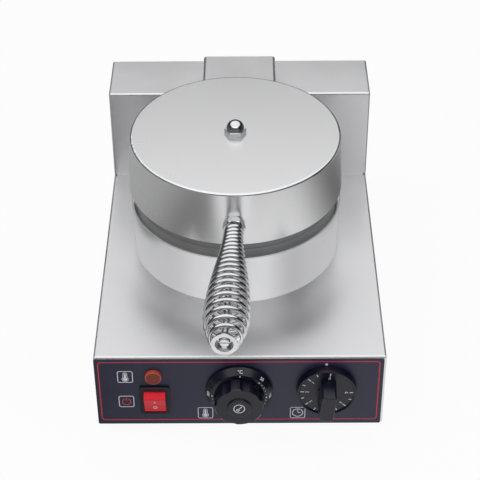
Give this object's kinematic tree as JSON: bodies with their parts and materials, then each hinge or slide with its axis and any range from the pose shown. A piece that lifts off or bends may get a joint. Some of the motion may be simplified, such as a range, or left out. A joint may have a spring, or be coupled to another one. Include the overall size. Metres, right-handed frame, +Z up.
{
  "type": "round waffle maker",
  "caption": "Counter waffle maker: round hinged upper head over a round plate on a steel casing, coil handle, rocker switch, thermostat and timer knobs.",
  "frame": {"origin": "middle of the box's underside, where the feet stand", "axes": "+X to the right seen from the front panel, +Y to the rear, +Z up; the handle points to -Y"},
  "size_m": [0.25, 0.4328, 0.2204],
  "materials": {
    "casing_steel": "satin rolled stainless sheet",
    "head_steel": "bright satin stainless sheet",
    "arm_steel": "satin stainless, folded",
    "base_steel": "plain zinc-coated sheet",
    "panel_film": "dark blue printed film on aluminium, slight sheen",
    "cast_plate": "seasoned casting, machined rim",
    "element_sheath": "heat-tinted tube",
    "press_steel": "plain steel",
    "insulation_wool": "matte mineral wool",
    "bright_fasteners": "zinc-plated",
    "polished_nut": "polished",
    "pin_steel": "ground steel",
    "spring_wire": "nickel-plated spring wire",
    "handle_screw": "nickel-plated",
    "rubber_black": "matte black rubber",
    "cutout_ceramic": "ceramic and tinned tabs",
    "feeler_copper": "copper",
    "switchgear_plastic": "black moulding",
    "bell_steel": "plated bell",
    "spindle_brass": "turned brass",
    "dial_black": "black moulding with printed numbers",
    "knob_black": "black moulding",
    "cap_grey": "grey disc",
    "timer_grey": "dark grey moulding with printed numbers",
    "rocker_red": "red translucent moulding",
    "lens_red": "red lens with a fine grid",
    "gland_plastic": "black nylon",
    "terminal_plastic": "white nylon"
  },
  "bodies": {
    "base": {"body_shell": "casing_steel", "rear_tower": "casing_steel", "rear_cover": "casing_steel", "lower_drum": "head_steel", "hinge_bracket": "arm_steel", "base_plate": "base_steel", "control_panel": "panel_film", "lower_plate": "cast_plate", "lower_element": "element_sheath", "lower_press_plate": "press_steel", "lower_heat_shield": "press_steel", "lower_insulation": "insulation_wool", "casing_screws": "bright_fasteners", "casing_nuts": "bright_fasteners", "foot_screws": "bright_fasteners", "panel_screws": "bright_fasteners", "lower_tie_rods": "bright_fasteners", "lower_nuts": "bright_fasteners", "hinge_washers": "bright_fasteners", "hinge_pin": "pin_steel", "hinge_clips": "pin_steel", "rubber_feet": "rubber_black", "lead_grommet": "rubber_black", "gland_seal": "rubber_black", "thermal_cutout": "cutout_ceramic", "thermostat_bulb": "feeler_copper", "thermostat_body": "switchgear_plastic", "timer_body": "switchgear_plastic", "lamp_body": "switchgear_plastic", "switch_body": "switchgear_plastic", "timer_bell": "bell_steel", "thermostat_dial": "dial_black", "lamp_lens": "lens_red", "cable_gland": "gland_plastic", "gland_cap": "gland_plastic", "gland_locknut": "gland_plastic", "terminal_block": "terminal_plastic"},
    "lid": {"upper_plate": "cast_plate", "upper_element": "element_sheath", "upper_press_plate": "press_steel", "upper_insulation": "insulation_wool", "upper_tie_rods": "bright_fasteners", "upper_nuts": "bright_fasteners", "lid_cover": "head_steel", "lid_arm": "arm_steel", "centre_stud": "bright_fasteners", "centre_nuts": "bright_fasteners", "centre_spacer": "bright_fasteners", "centre_cap_nut": "polished_nut", "handle_nut": "polished_nut", "handle_coil": "spring_wire", "handle_cup": "handle_screw", "handle_bolt": "handle_screw", "handle_washer": "bright_fasteners"},
    "rocker": {"power_rocker": "rocker_red"},
    "thermostat": {"thermostat_spindle": "spindle_brass", "thermostat_knob": "knob_black", "thermostat_cap": "cap_grey"},
    "timer": {"timer_spindle": "spindle_brass", "timer_knob": "timer_grey"}
  },
  "joints": [
    {"name": "lid_hinge", "type": "hinge", "parent": "base", "child": "lid", "pos_m": [0, 0.17159, 0.194], "axis": [-1, 0, 0], "range_deg": [0, 100]},
    {"name": "rocker_tilt", "type": "hinge", "parent": "base", "child": "rocker", "pos_m": [-0.074, -0.12761, 0.0415], "axis": [-1, 0, 0], "range_deg": [0, 36]},
    {"name": "thermostat_turn", "type": "hinge", "parent": "base", "child": "thermostat", "pos_m": [-0.0007, -0.12911, 0.053], "axis": [0, 1, 0], "range_deg": [0, 270]},
    {"name": "timer_turn", "type": "hinge", "parent": "base", "child": "timer", "pos_m": [0.0747, -0.12911, 0.0551], "axis": [0, 1, 0], "range_deg": [-5.5, 259.5]}
  ]
}
